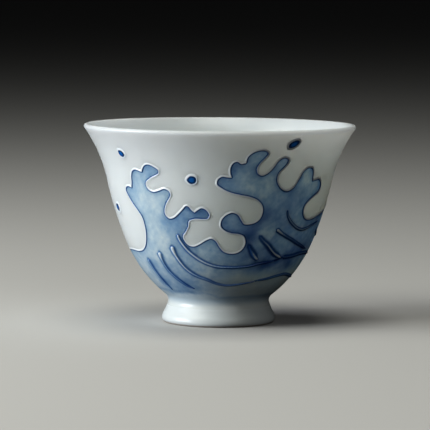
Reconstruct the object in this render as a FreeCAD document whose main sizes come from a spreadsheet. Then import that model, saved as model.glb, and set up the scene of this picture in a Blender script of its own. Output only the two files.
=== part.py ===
"""Teacup of thrown porcelain: a flared bowl on a luted foot ring, with slip-trailed waves and spray.

Units are millimetres and degrees. The cup stands on Z = 0 with its axis on Z.
An angle round the cup is 0 at -Y and grows towards +X.
"""
import FreeCAD, Part
import math
import os

import Sketcher
from FreeCAD import Placement, Rotation, Vector

# Driving dimensions: alias and value.
DIMENSIONS = [
    # joint between the bowl and the foot ring
    ("seat_radius", 14.88),
    ("seat_height", 5.0),
    # outside of the bowl, from the throat up to the lip
    ("throat_arc", 2.4),
    ("hip_radius", 15.37),
    ("hip_height", 8.05),
    ("hip_arc", 37.6),
    ("belly_radius", 26.47),
    ("belly_height", 22.59),
    ("belly_arc", 107.0),
    ("waist_radius", 32.22),
    ("waist_height", 40.52),
    ("flare_arc", 41.1),
    ("lip_radius", 38.87),
    ("lip_height", 55.85),
    ("lip_arc", 0.7),
    ("crest_radius", 38.3),
    ("cup_height", 56.95),
    # inside of the bowl, from the lip down to the floor
    ("inner_lip_radius", 37.73),
    ("inner_lip_height", 56.65),
    ("inner_flare_arc", 36.7),
    ("inner_waist_radius", 30.26),
    ("inner_waist_height", 40.96),
    ("inner_waist_arc", 105.0),
    ("inner_belly_radius", 24.26),
    ("inner_belly_height", 23.52),
    ("inner_bottom_arc", 26.3),
    ("floor_height", 7.4),
    # foot ring
    ("recess_radius", 12.2),
    ("foot_flare_radius", 15.98),
    ("foot_flare_height", 2.6),
    ("foot_flare_arc", 3.0),
    ("foot_radius", 16.3),
    ("foot_bulge_height", 1.35),
    ("foot_edge_arc", 1.25),
    ("contact_outer_radius", 15.3),
    ("contact_inner_radius", 13.3),
    ("recess_edge_radius", 12.68),
    ("recess_edge_height", 0.6),
    ("recess_edge_arc", 0.62),
    # raised slip: the outline of the waves, the streaks inside them, the spray drops
    ("outline_width", 0.9),
    ("outline_rise", 0.2),
    ("streak_width", 0.85),
    ("streak_rise", 0.25),
    ("drop_ring_radius", 1.6),
    ("drop_ring_bead", 0.32),
    ("drop_pool_curve", 2.23),
    ("drop_pool_latitude", 45.0),
    ("drop_pool_rise", 0.35),
]

# Outline of the blue waves: (angle, height) where the slip bead meets the blue glaze.
# The strokes run round the cup and each starts at the notch where the one before ends.
OUTLINE_STROKES = {
    "left_crescent_outline": [
        (-156.2, 43.4), (-155.2, 45.2), (-152.2, 46.8), (-148.4, 47.2), (-145.0, 46.2), (-143.6, 44.6),
        (-145.0, 43.0), (-147.8, 41.4), (-149.2, 39.6), (-148.2, 37.8), (-145.4, 37.2), (-141.8, 37.8),
        (-138.2, 38.6), (-135.0, 38.0), (-133.8, 36.2), (-135.2, 34.4), (-138.4, 33.0), (-141.4, 31.2),
        (-142.6, 29.0), (-141.6, 26.8), (-138.6, 25.0), (-134.4, 23.6), (-129.0, 22.6), (-121.0, 21.9),
        (-110.0, 21.4), (-98.0, 21.1), (-84.0, 21.2), (-70.0, 21.5), (-60.0, 21.5), (-54.5, 22.1),
        (-50.0, 23.7), (-47.2, 26.1), (-45.8, 29.0), (-46.2, 31.6), (-48.2, 33.4), (-51.2, 35.3),
        (-54.0, 37.5), (-55.2, 39.1), (-54.0, 40.2), (-52.0, 40.4), (-49.8, 40.1),
    ],
    "left_cloud_outline": [
        (-49.8, 40.1), (-49.1, 41.6), (-48.4, 43.4), (-47.0, 44.8), (-44.8, 45.35), (-42.4, 45.1), (-40.3, 44.8),
    ],
    "left_finger_outline": [
        (-40.3, 44.8), (-39.2, 46.0), (-37.2, 46.9), (-35.0, 47.0), (-32.4, 46.4), (-30.2, 45.5), (-30.8, 44.5),
        (-33.2, 43.8), (-36.2, 43.0), (-38.6, 42.1), (-39.1, 41.1), (-37.8, 39.9), (-35.0, 39.3), (-31.8, 39.7),
        (-28.4, 40.3), (-25.9, 39.8), (-25.1, 38.8), (-26.3, 37.5), (-28.2, 36.1), (-29.5, 34.4), (-29.6, 33.0),
        (-27.6, 31.95), (-25.0, 32.15), (-22.0, 33.3), (-19.2, 34.7), (-17.4, 35.7), (-16.0, 35.6),
        (-14.6, 34.7), (-12.9, 33.9),
    ],
    "middle_outline": [
        (-12.9, 33.9), (-11.0, 34.7), (-9.0, 35.2), (-6.8, 34.7), (-5.1, 33.4), (-5.9, 32.3), (-9.0, 32.1),
        (-13.0, 32.1), (-16.2, 31.4), (-17.1, 29.7), (-19.0, 28.1), (-20.8, 26.9), (-19.8, 25.4), (-17.4, 24.3),
        (-14.6, 24.15), (-11.0, 24.9), (-7.4, 26.0), (-4.2, 26.5), (-1.6, 25.7), (0.2, 24.2), (2.8, 22.8),
        (7.2, 22.15), (11.6, 22.5), (14.6, 23.8), (15.4, 25.5), (14.0, 27.2), (11.0, 27.85), (7.0, 28.1),
        (3.4, 28.8), (1.0, 30.1), (1.1, 31.6), (3.2, 33.1), (6.8, 33.95), (9.8, 33.4), (11.8, 31.9),
        (13.6, 30.7), (16.2, 30.6), (19.6, 31.0), (22.2, 32.1), (23.3, 34.2), (22.4, 36.0), (19.6, 37.5),
        (15.6, 38.4), (10.4, 39.0), (5.4, 39.7), (1.4, 40.8), (-1.1, 42.0), (-0.8, 43.3), (1.2, 44.15),
        (3.6, 44.0), (5.8, 43.9),
    ],
    "small_cloud_outline": [
        (5.8, 43.9), (5.1, 45.4), (5.2, 46.8), (6.5, 48.1), (8.3, 48.4), (9.9, 47.8), (12.2, 48.0),
    ],
    "right_fingers_outline": [
        (12.2, 48.0), (12.7, 49.6), (14.6, 50.8), (17.6, 51.5), (20.4, 51.5), (22.2, 50.7), (21.0, 49.4),
        (19.0, 48.0), (17.8, 46.5), (18.4, 45.1), (20.6, 44.4), (23.4, 45.0), (26.0, 46.6), (28.2, 48.6),
        (30.8, 49.4), (33.2, 48.8), (33.3, 47.8), (31.4, 46.3), (29.4, 44.9), (29.1, 43.1), (30.6, 41.4),
        (33.4, 40.1), (36.6, 39.8), (39.8, 40.8), (42.2, 42.9), (44.4, 45.2), (47.2, 46.2), (50.2, 46.0),
        (52.0, 44.6), (53.0, 42.3),
    ],
    "right_crest_outline": [
        (53.0, 42.3), (55.4, 42.5), (58.6, 42.6), (61.2, 41.6), (62.2, 40.3), (60.4, 38.8), (56.4, 37.7),
        (52.6, 36.4), (50.5, 34.9), (51.0, 33.1), (53.6, 31.6), (57.4, 31.0), (63.0, 31.2), (70.0, 31.9),
        (78.0, 32.8), (86.0, 34.0), (92.6, 35.8), (96.8, 38.4), (98.6, 41.2), (98.2, 44.0), (98.0, 46.6),
        (100.4, 48.6), (103.8, 48.8), (106.5, 47.6),
    ],
    "back_fingers_outline": [
        (106.5, 47.6), (107.6, 49.6), (110.6, 51.2), (114.4, 51.6), (117.8, 51.0), (119.2, 49.6), (118.0, 47.8),
        (115.6, 46.2), (114.6, 44.4), (115.8, 42.8), (118.6, 42.4), (122.0, 43.6), (125.6, 45.8), (129.4, 47.2),
        (132.6, 46.8), (133.8, 45.2), (132.0, 43.2), (129.4, 41.4), (128.4, 39.4), (130.0, 37.6), (133.4, 37.0),
        (137.4, 38.2), (141.4, 40.0), (145.2, 40.2), (147.6, 38.8), (146.6, 36.8), (142.8, 35.2), (139.0, 33.6),
        (137.4, 31.4), (138.6, 29.0), (142.4, 27.0), (148.0, 26.2), (154.0, 27.2), (159.2, 29.6), (163.6, 31.4),
        (167.8, 31.5), (170.8, 30.4),
    ],
    "back_curl_outline": [
        (170.8, 30.4), (173.2, 31.7), (176.8, 32.4), (180.6, 31.6), (182.6, 29.8), (181.8, 27.6), (179.4, 25.8),
        (178.8, 23.8), (181.6, 22.2), (186.4, 21.6), (192.0, 22.4), (196.8, 24.8), (200.2, 28.2), (202.0, 32.0),
        (201.6, 35.8), (199.2, 38.8), (197.4, 41.4), (198.8, 43.6), (201.4, 44.2), (203.8, 43.4),
    ],
}

# Streaks of slip inside the waves: width factor at the head, width factor at the tail, then the centre line.
STREAKS = {
    "left_wave_streaks": [
        (1.0, 0.6, [(-23.9, 27.4), (-23.4, 26.2), (-21.6, 24.6), (-18.8, 22.8), (-15.0, 21.2), (-10.4, 19.8),
                    (-5.4, 18.8), (0.0, 18.25), (7.0, 18.1), (15.0, 18.15), (20.0, 18.35), (25.0, 18.8),
                    (30.0, 19.2), (37.5, 19.6)]),
        (1.8, 0.7, [(-29.1, 23.9), (-28.7, 22.6), (-27.4, 21.0), (-25.2, 19.1), (-22.4, 17.4), (-18.8, 16.1),
                    (-14.2, 15.1), (-8.6, 14.3), (-2.0, 13.2), (5.0, 12.65), (12.0, 12.7), (20.0, 13.1),
                    (28.0, 13.6)]),
        (1.7, 1.2, [(-39.8, 21.9), (-39.6, 20.4), (-38.8, 18.4), (-37.2, 16.6), (-34.4, 15.0), (-30.6, 13.5),
                    (-26.0, 12.2), (-20.6, 11.3)]),
        (1.6, 1.2, [(-53.4, 19.4), (-52.4, 17.0), (-50.8, 14.6), (-48.8, 12.2), (-46.0, 10.5)]),
    ],
    "right_wave_streaks": [
        (0.8, 1.6, [(17.9, 24.4), (19.8, 23.0), (21.8, 21.7), (24.0, 20.6), (25.4, 20.4)]),
        (0.8, 1.6, [(23.6, 27.1), (26.4, 25.7), (29.8, 24.4), (33.2, 22.9), (36.6, 21.7), (40.2, 20.9),
                    (42.6, 20.4)]),
        (1.2, 0.8, [(33.6, 28.9), (37.2, 27.8), (41.6, 26.7), (46.6, 25.7), (52.0, 24.6), (58.0, 23.6),
                    (64.0, 22.7), (69.0, 22.2)]),
        (1.2, 0.8, [(38.3, 34.2), (39.4, 32.7), (41.8, 31.2), (45.2, 29.9), (49.4, 28.8), (54.2, 28.3),
                    (60.0, 28.7), (66.0, 29.4), (72.0, 30.0)]),
        (1.0, 0.9, [(44.5, 20.5), (50.0, 20.5), (56.0, 20.7), (62.0, 21.0), (69.0, 21.0), (77.0, 20.7),
                    (86.0, 20.2)]),
        (0.9, 0.9, [(31.0, 13.9), (38.0, 14.2), (47.0, 14.8), (56.0, 15.1), (66.0, 14.5), (78.0, 13.6),
                    (90.0, 13.1)]),
        (1.3, 0.8, [(76.0, 27.6), (82.0, 26.2), (90.0, 25.2), (98.0, 25.0), (106.0, 25.6)]),
    ],
    "back_wave_streaks": [
        (1.4, 0.7, [(106.0, 41.6), (107.6, 38.6), (110.4, 35.4), (114.4, 32.2), (119.6, 29.2), (126.0, 26.4),
                    (133.6, 23.8), (142.0, 21.8), (151.0, 20.6)]),
        (1.5, 0.7, [(100.4, 34.0), (103.0, 30.8), (107.4, 27.6), (113.6, 24.4), (121.4, 21.4), (130.4, 18.8),
                    (140.6, 16.8)]),
        (1.2, 0.8, [(152.0, 23.2), (159.0, 23.6), (165.6, 25.2), (171.2, 27.2)]),
        (1.5, 0.8, [(94.0, 20.4), (101.0, 18.4), (109.6, 16.4), (119.4, 14.6), (130.0, 13.2)]),
        (1.4, 0.8, [(206.4, 39.6), (206.8, 36.6), (206.2, 33.2), (204.2, 29.6), (200.8, 26.2), (196.2, 23.0),
                    (190.4, 20.4), (183.2, 18.6), (174.6, 17.6)]),
        (1.5, 0.7, [(213.4, 31.6), (211.8, 27.8), (208.6, 24.2), (204.0, 20.8), (197.8, 17.8), (190.0, 15.4),
                    (180.6, 13.8)]),
        (1.6, 0.9, [(226.0, 20.4), (221.6, 17.4), (216.0, 14.8), (209.2, 12.8)]),
        (1.4, 0.8, [(262.0, 18.2), (256.0, 15.8), (248.6, 13.6), (239.6, 11.9)]),
    ],
}

# Spray drops: (angle, height) of each centre.
DROPS = [
    (-51.0, 49.7), (-13.4, 43.1), (33.4, 53.2), (-70.6, 33.7),
    (96.0, 50.0), (157.0, 44.2), (171.0, 38.6), (234.0, 46.6), (258.0, 38.4),
]

UNROLLED_RADIUS = 28.0  # radius at which an angle is laid out flat while a stroke is smoothed
SECTION_SPACING = 0.8  # distance between the sections of a bead of slip


# ---------------------------------------------------------------- document and dimensions
doc = FreeCAD.newDocument("Teacup")
sheet = doc.addObject("Spreadsheet::Sheet", "dims")
for row, (alias, value) in enumerate(DIMENSIONS, start=1):
    sheet.set("A%d" % row, alias)
    sheet.set("B%d" % row, "%g" % value)
    sheet.setAlias("B%d" % row, alias)
doc.recompute()


def size(alias):
    """Value of one driving dimension."""
    return float(sheet.get(alias))


# ---------------------------------------------------------------- turned pieces
def arc_centre(first, last, radius, side):
    """Centre of the arc from first to last; side 1 is left of the way between them, and -1 is right."""
    middle = (first + last) * 0.5
    way = last - first
    reach = math.sqrt(max(radius ** 2 - (way.Length / 2) ** 2, 0.0))
    left = Vector(-way.y, way.x, 0).normalize()
    return middle + left * (reach * side)


def arc_between(first, last, radius, side):
    """The shorter arc from first to last as a sketch arc, which always runs anticlockwise."""
    centre = arc_centre(first, last, radius, side)
    first_angle = math.atan2(first.y - centre.y, first.x - centre.x)
    last_angle = math.atan2(last.y - centre.y, last.x - centre.x)
    circle = Part.Circle(centre, Vector(0, 0, 1), radius)
    if side < 0:
        return Part.ArcOfCircle(circle, last_angle, first_angle)
    return Part.ArcOfCircle(circle, first_angle, last_angle)


def pin_coordinate(sketch, direction, index, point, alias):
    """Hold one coordinate of a sketch point at a driving dimension, or on the sketch's axis where alias is None."""
    if alias is None:
        axis = -2 if direction == "DistanceX" else -1
        sketch.addConstraint(Sketcher.Constraint("PointOnObject", index, point, axis))
        return
    number = sketch.addConstraint(Sketcher.Constraint(direction, index, point, size(alias)))
    sketch.setExpression("Constraints[%d]" % number, "dims." + alias)


def turned_piece(label, corners, edges):
    """A body turned round Z. corners are pairs of aliases, None for 0; edges are None or (alias, side)."""
    body = doc.addObject("PartDesign::Body", label)
    body.Label = label
    sketch = body.newObject("Sketcher::SketchObject", label + "_profile")
    plane = [feature for feature in body.Origin.OriginFeatures if feature.Role == "XZ_Plane"][0]
    sketch.AttachmentSupport = [(plane, "")]
    sketch.MapMode = "FlatFace"
    points = [Vector(size(x) if x else 0.0, size(y) if y else 0.0, 0) for x, y in corners]
    ends = []
    for index, edge in enumerate(edges):
        first = points[index]
        last = points[(index + 1) % len(points)]
        if edge is None:
            sketch.addGeometry(Part.LineSegment(first, last), False)
            ends.append((1, 2))
        else:
            alias, side = edge
            sketch.addGeometry(arc_between(first, last, size(alias), side), False)
            ends.append((2, 1) if side < 0 else (1, 2))
    for index in range(len(edges)):
        after = (index + 1) % len(edges)
        sketch.addConstraint(Sketcher.Constraint("Coincident", index, ends[index][1], after, ends[after][0]))
    for index, (x_alias, y_alias) in enumerate(corners):
        pin_coordinate(sketch, "DistanceX", index, ends[index][0], x_alias)
        pin_coordinate(sketch, "DistanceY", index, ends[index][0], y_alias)
    for index, edge in enumerate(edges):
        if edge is not None:
            number = sketch.addConstraint(Sketcher.Constraint("Radius", index, size(edge[0])))
            sketch.setExpression("Constraints[%d]" % number, "dims." + edge[0])
    turned = body.newObject("PartDesign::Revolution", label + "_turned")
    turned.Profile = sketch
    turned.ReferenceAxis = (sketch, ["V_Axis"])
    turned.Angle = 360.0
    return body


bowl = turned_piece(
    "bowl",
    [
        (None, "seat_height"),
        ("seat_radius", "seat_height"),
        ("hip_radius", "hip_height"),
        ("belly_radius", "belly_height"),
        ("waist_radius", "waist_height"),
        ("lip_radius", "lip_height"),
        ("crest_radius", "cup_height"),
        ("inner_lip_radius", "inner_lip_height"),
        ("inner_waist_radius", "inner_waist_height"),
        ("inner_belly_radius", "inner_belly_height"),
        (None, "floor_height"),
    ],
    [
        None,
        ("throat_arc", -1),
        ("hip_arc", 1),
        ("belly_arc", 1),
        ("flare_arc", -1),
        ("lip_arc", 1),
        ("lip_arc", 1),
        ("inner_flare_arc", 1),
        ("inner_waist_arc", -1),
        ("inner_bottom_arc", -1),
        None,
    ],
)

foot_ring = turned_piece(
    "foot_ring",
    [
        ("recess_radius", "seat_height"),
        ("recess_edge_radius", "recess_edge_height"),
        ("contact_inner_radius", None),
        ("contact_outer_radius", None),
        ("foot_radius", "foot_bulge_height"),
        ("foot_flare_radius", "foot_flare_height"),
        ("seat_radius", "seat_height"),
    ],
    [
        None,
        ("recess_edge_arc", 1),
        None,
        ("foot_edge_arc", 1),
        ("foot_flare_arc", 1),
        None,
        None,
    ],
)
doc.recompute()


# ---------------------------------------------------------------- outside wall of the bowl
def wall_spans():
    """The arcs of the outside wall, from the hip to the lip: low and high end, centre and side of the axis."""
    spans = []
    for low, high, arc, side in (("hip", "belly", "hip_arc", 1), ("belly", "waist", "belly_arc", 1),
                                 ("waist", "lip", "flare_arc", -1)):
        first = Vector(size(low + "_radius"), size(low + "_height"), 0)
        last = Vector(size(high + "_radius"), size(high + "_height"), 0)
        spans.append((last.y, arc_centre(first, last, size(arc), side), size(arc), side))
    return spans


WALL_SPANS = wall_spans()


def wall_radius(height):
    """Outside radius of the bowl at a height between the hip and the lip."""
    for top, centre, radius, side in WALL_SPANS:
        if height <= top:
            break
    reach = math.sqrt(radius ** 2 - (height - centre.y) ** 2)
    return centre.x + side * reach


def wall_point(angle, height):
    """Point of the outside wall."""
    turn = math.radians(angle)
    radius = wall_radius(height)
    return Vector(radius * math.sin(turn), -radius * math.cos(turn), height)


def wall_normal(angle, height):
    """Outward normal of the outside wall."""
    turn = math.radians(angle)
    step = 0.01
    slope = (wall_radius(height + step) - wall_radius(height - step)) / (2 * step)
    return Vector(math.sin(turn), -math.cos(turn), -slope).normalize()


def on_wall(point):
    """A point brought back onto the outside wall at its own angle and height."""
    return wall_point(math.degrees(math.atan2(point.x, -point.y)), point.z)


# ---------------------------------------------------------------- beads of slip
def smooth(points, spacing):
    """A centripetal Catmull-Rom curve through (angle, height) points, sampled evenly along the wall."""
    scale = math.radians(UNROLLED_RADIUS)
    flat = [Vector(angle * scale, height, 0) for angle, height in points]
    flat = [flat[0] * 2 - flat[1]] + flat + [flat[-1] * 2 - flat[-2]]
    dense = []
    for before, first, last, after in zip(flat, flat[1:], flat[2:], flat[3:]):
        knots = [0.0]
        for start, end in ((before, first), (first, last), (last, after)):
            knots.append(knots[-1] + math.sqrt((end - start).Length))
        t0, t1, t2, t3 = knots
        for part in range(24):
            t = t1 + (t2 - t1) * part / 24
            a1 = before * ((t1 - t) / (t1 - t0)) + first * ((t - t0) / (t1 - t0))
            a2 = first * ((t2 - t) / (t2 - t1)) + last * ((t - t1) / (t2 - t1))
            a3 = last * ((t3 - t) / (t3 - t2)) + after * ((t - t2) / (t3 - t2))
            b1 = a1 * ((t2 - t) / (t2 - t0)) + a2 * ((t - t0) / (t2 - t0))
            b2 = a2 * ((t3 - t) / (t3 - t1)) + a3 * ((t - t1) / (t3 - t1))
            dense.append(b1 * ((t2 - t) / (t2 - t1)) + b2 * ((t - t1) / (t2 - t1)))
    dense.append(flat[-2])
    lengths = [0.0]
    places = [wall_point(p.x / scale, p.y) for p in dense]
    for start, end in zip(places, places[1:]):
        lengths.append(lengths[-1] + (end - start).Length)
    count = max(int(round(lengths[-1] / spacing)), 4)
    samples = []
    index = 0
    for part in range(count + 1):
        target = lengths[-1] * part / count
        while index < len(lengths) - 2 and lengths[index + 1] < target:
            index += 1
        share = (target - lengths[index]) / (lengths[index + 1] - lengths[index])
        point = dense[index] * (1 - share) + dense[index + 1] * share
        samples.append((point.x / scale, point.y))
    return samples


def frames(samples):
    """Place, outward normal and side of each sample. The side points left of the way, seen from outside."""
    places = [wall_point(angle, height) for angle, height in samples]
    result = []
    for index, (angle, height) in enumerate(samples):
        before = places[max(index - 1, 0)]
        after = places[min(index + 1, len(places) - 1)]
        normal = wall_normal(angle, height)
        side = normal.cross(after - before).normalize()
        result.append((places[index], normal, side))
    return result


def bead_section(place, normal, side, near, far, rise):
    """Closed section of a bead that stands on the wall from near to far along side."""
    start = on_wall(place + side * near)
    end = on_wall(place + side * far)
    crown = (start + end) * 0.5 + normal * rise
    return Part.Wire([Part.Arc(start, crown, end).toShape(), Part.LineSegment(end, start).toShape()])


def mitre(this_side, other_side):
    """Side vector of the plane where two strokes meet at a notch."""
    return (this_side + other_side) * (1.0 / (1.0 + this_side.dot(other_side)))


def beyond(foot, notch, notch_side, neighbour):
    """True if foot lies on the stroke's own side of the notch's mitre plane, or is far from the notch."""
    place, normal, unused_side = notch
    reach = foot - place
    if reach.Length > 4.0:
        return True
    across = normal.cross(notch_side).normalize()
    if across.dot(neighbour - place) < 0:
        across = across * -1
    return across.dot(reach) > 0.3


def outline_bead(label):
    """Bead that stands outside the edge of the blue glaze along one stroke, mitred to its neighbours."""
    labels = list(OUTLINE_STROKES)
    position = labels.index(label)
    own = STROKE_FRAMES[label]
    before = STROKE_FRAMES[labels[position - 1]][-1][2]
    after = STROKE_FRAMES[labels[(position + 1) % len(labels)]][0][2]
    first_side = mitre(own[0][2], before)
    last_side = mitre(own[-1][2], after)
    width = size("outline_width")
    rise = size("outline_rise")
    sections = [bead_section(own[0][0], own[0][1], first_side, 0.0, width, rise)]
    for place, normal, side in own[1:-1]:
        foot = place + side * width
        clear_of_first = beyond(foot, own[0], first_side, own[1][0])
        clear_of_last = beyond(foot, own[-1], last_side, own[-2][0])
        if clear_of_first and clear_of_last:
            sections.append(bead_section(place, normal, side, 0.0, width, rise))
    sections.append(bead_section(own[-1][0], own[-1][1], last_side, 0.0, width, rise))
    return Part.makeLoft(sections, True, True)


def streak_bead(head_width, tail_width, points):
    """Bead along a streak: fuller at one end, with both ends drawn in."""
    own = frames(smooth(points, SECTION_SPACING))
    last = len(own) - 1
    sections = []
    for index, (place, normal, side) in enumerate(own):
        along = index / last
        fullness = head_width + (1.0 - head_width) * min(along * last / 4.0, 1.0)
        fullness = fullness + (tail_width - 1.0) * max(1.0 - (last - index) / 4.0, 0.0)
        if index in (0, last):
            fullness = fullness * 0.45
        half = size("streak_width") * fullness / 2
        rise = size("streak_rise") * math.sqrt(fullness)
        sections.append(bead_section(place, normal, side, -half, half, rise))
    return Part.makeLoft(sections, True, True)


def shaped_piece(label, shape):
    """A piece whose form follows the double-curved wall, so that no primitive or sketch fits it."""
    piece = doc.addObject("Part::Feature", label)
    piece.Label = label
    piece.Shape = shape
    piece.Placement = Placement()
    return piece


STROKE_FRAMES = {label: frames(smooth(points, SECTION_SPACING)) for label, points in OUTLINE_STROKES.items()}
pieces = [bowl, foot_ring]
for label in OUTLINE_STROKES:
    pieces.append(shaped_piece(label, outline_bead(label)))
for label, streaks in STREAKS.items():
    pieces.append(shaped_piece(label, Part.makeCompound([streak_bead(*streak) for streak in streaks])))


# ---------------------------------------------------------------- spray drops
def on_drop(angle, height, depth):
    """Placement with its own Z along the wall's outward normal, depth below the wall."""
    normal = wall_normal(angle, height)
    return Placement(wall_point(angle, height) - normal * depth, Rotation(Vector(0, 0, 1), normal))


def spray(label, kind, dimensions, depth):
    """One primitive at every drop, trimmed where it would enter the bowl."""
    members = []
    for number, (angle, height) in enumerate(DROPS, start=1):
        member = doc.addObject(kind, "%s_%d" % (label, number))
        for name, alias in dimensions:
            member.setExpression(name, "dims." + alias)
        member.Placement = on_drop(angle, height, depth)
        members.append(member)
    group = doc.addObject("Part::Compound", label + "_whole")
    group.Links = members
    trimmed = doc.addObject("Part::Cut", label)
    trimmed.Base = group
    trimmed.Tool = bowl
    trimmed.Label = label
    return trimmed


pieces.append(spray(
    "spray_drop_rings", "Part::Torus",
    [("Radius1", "drop_ring_radius"), ("Radius2", "drop_ring_bead")],
    0.0,
))
pieces.append(spray(
    "spray_drop_beads", "Part::Sphere",
    [("Radius", "drop_pool_curve"), ("Angle1", "drop_pool_latitude")],
    size("drop_pool_curve") - size("drop_pool_rise"),
))


# ---------------------------------------------------------------- checks and export
doc.recompute()
for item in doc.Objects:
    if "Invalid" in item.State or "Error" in item.State:
        raise RuntimeError("%s did not build: %s" % (item.Label, item.State))
os.makedirs("parts", exist_ok=True)
for piece in pieces:
    if piece.Shape.isNull() or not piece.Shape.isValid():
        raise RuntimeError("%s has no sound shape" % piece.Label)
    piece.Shape.exportStep("parts/%s.step" % piece.Label)
    print("%-24s %3d solids %9.2f mm3" % (piece.Label, len(piece.Shape.Solids), piece.Shape.Volume))
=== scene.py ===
"""Teacup of thrown porcelain with slip-trailed blue waves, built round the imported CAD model.

The lists and sizes are in millimetres and degrees, as in the part's source, and meshes are made in metres.
The camera and the lights are in metres. An angle round the cup is 0 at -Y and grows towards +X.
"""
import math

import bpy
import numpy as np
from mathutils import Matrix, kdtree


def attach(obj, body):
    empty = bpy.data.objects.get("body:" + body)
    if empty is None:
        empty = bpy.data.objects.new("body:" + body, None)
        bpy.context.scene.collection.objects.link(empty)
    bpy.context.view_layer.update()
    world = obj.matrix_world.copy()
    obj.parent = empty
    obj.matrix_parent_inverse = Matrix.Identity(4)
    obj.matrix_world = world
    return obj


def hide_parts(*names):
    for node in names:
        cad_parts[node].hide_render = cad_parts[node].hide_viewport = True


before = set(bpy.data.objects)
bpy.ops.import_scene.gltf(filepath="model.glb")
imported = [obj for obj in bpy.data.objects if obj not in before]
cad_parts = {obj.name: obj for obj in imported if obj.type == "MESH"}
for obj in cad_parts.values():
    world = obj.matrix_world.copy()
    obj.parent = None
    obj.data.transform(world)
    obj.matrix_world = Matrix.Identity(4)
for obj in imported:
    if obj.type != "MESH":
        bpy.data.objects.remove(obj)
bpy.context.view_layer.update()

MM = 0.001

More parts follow.
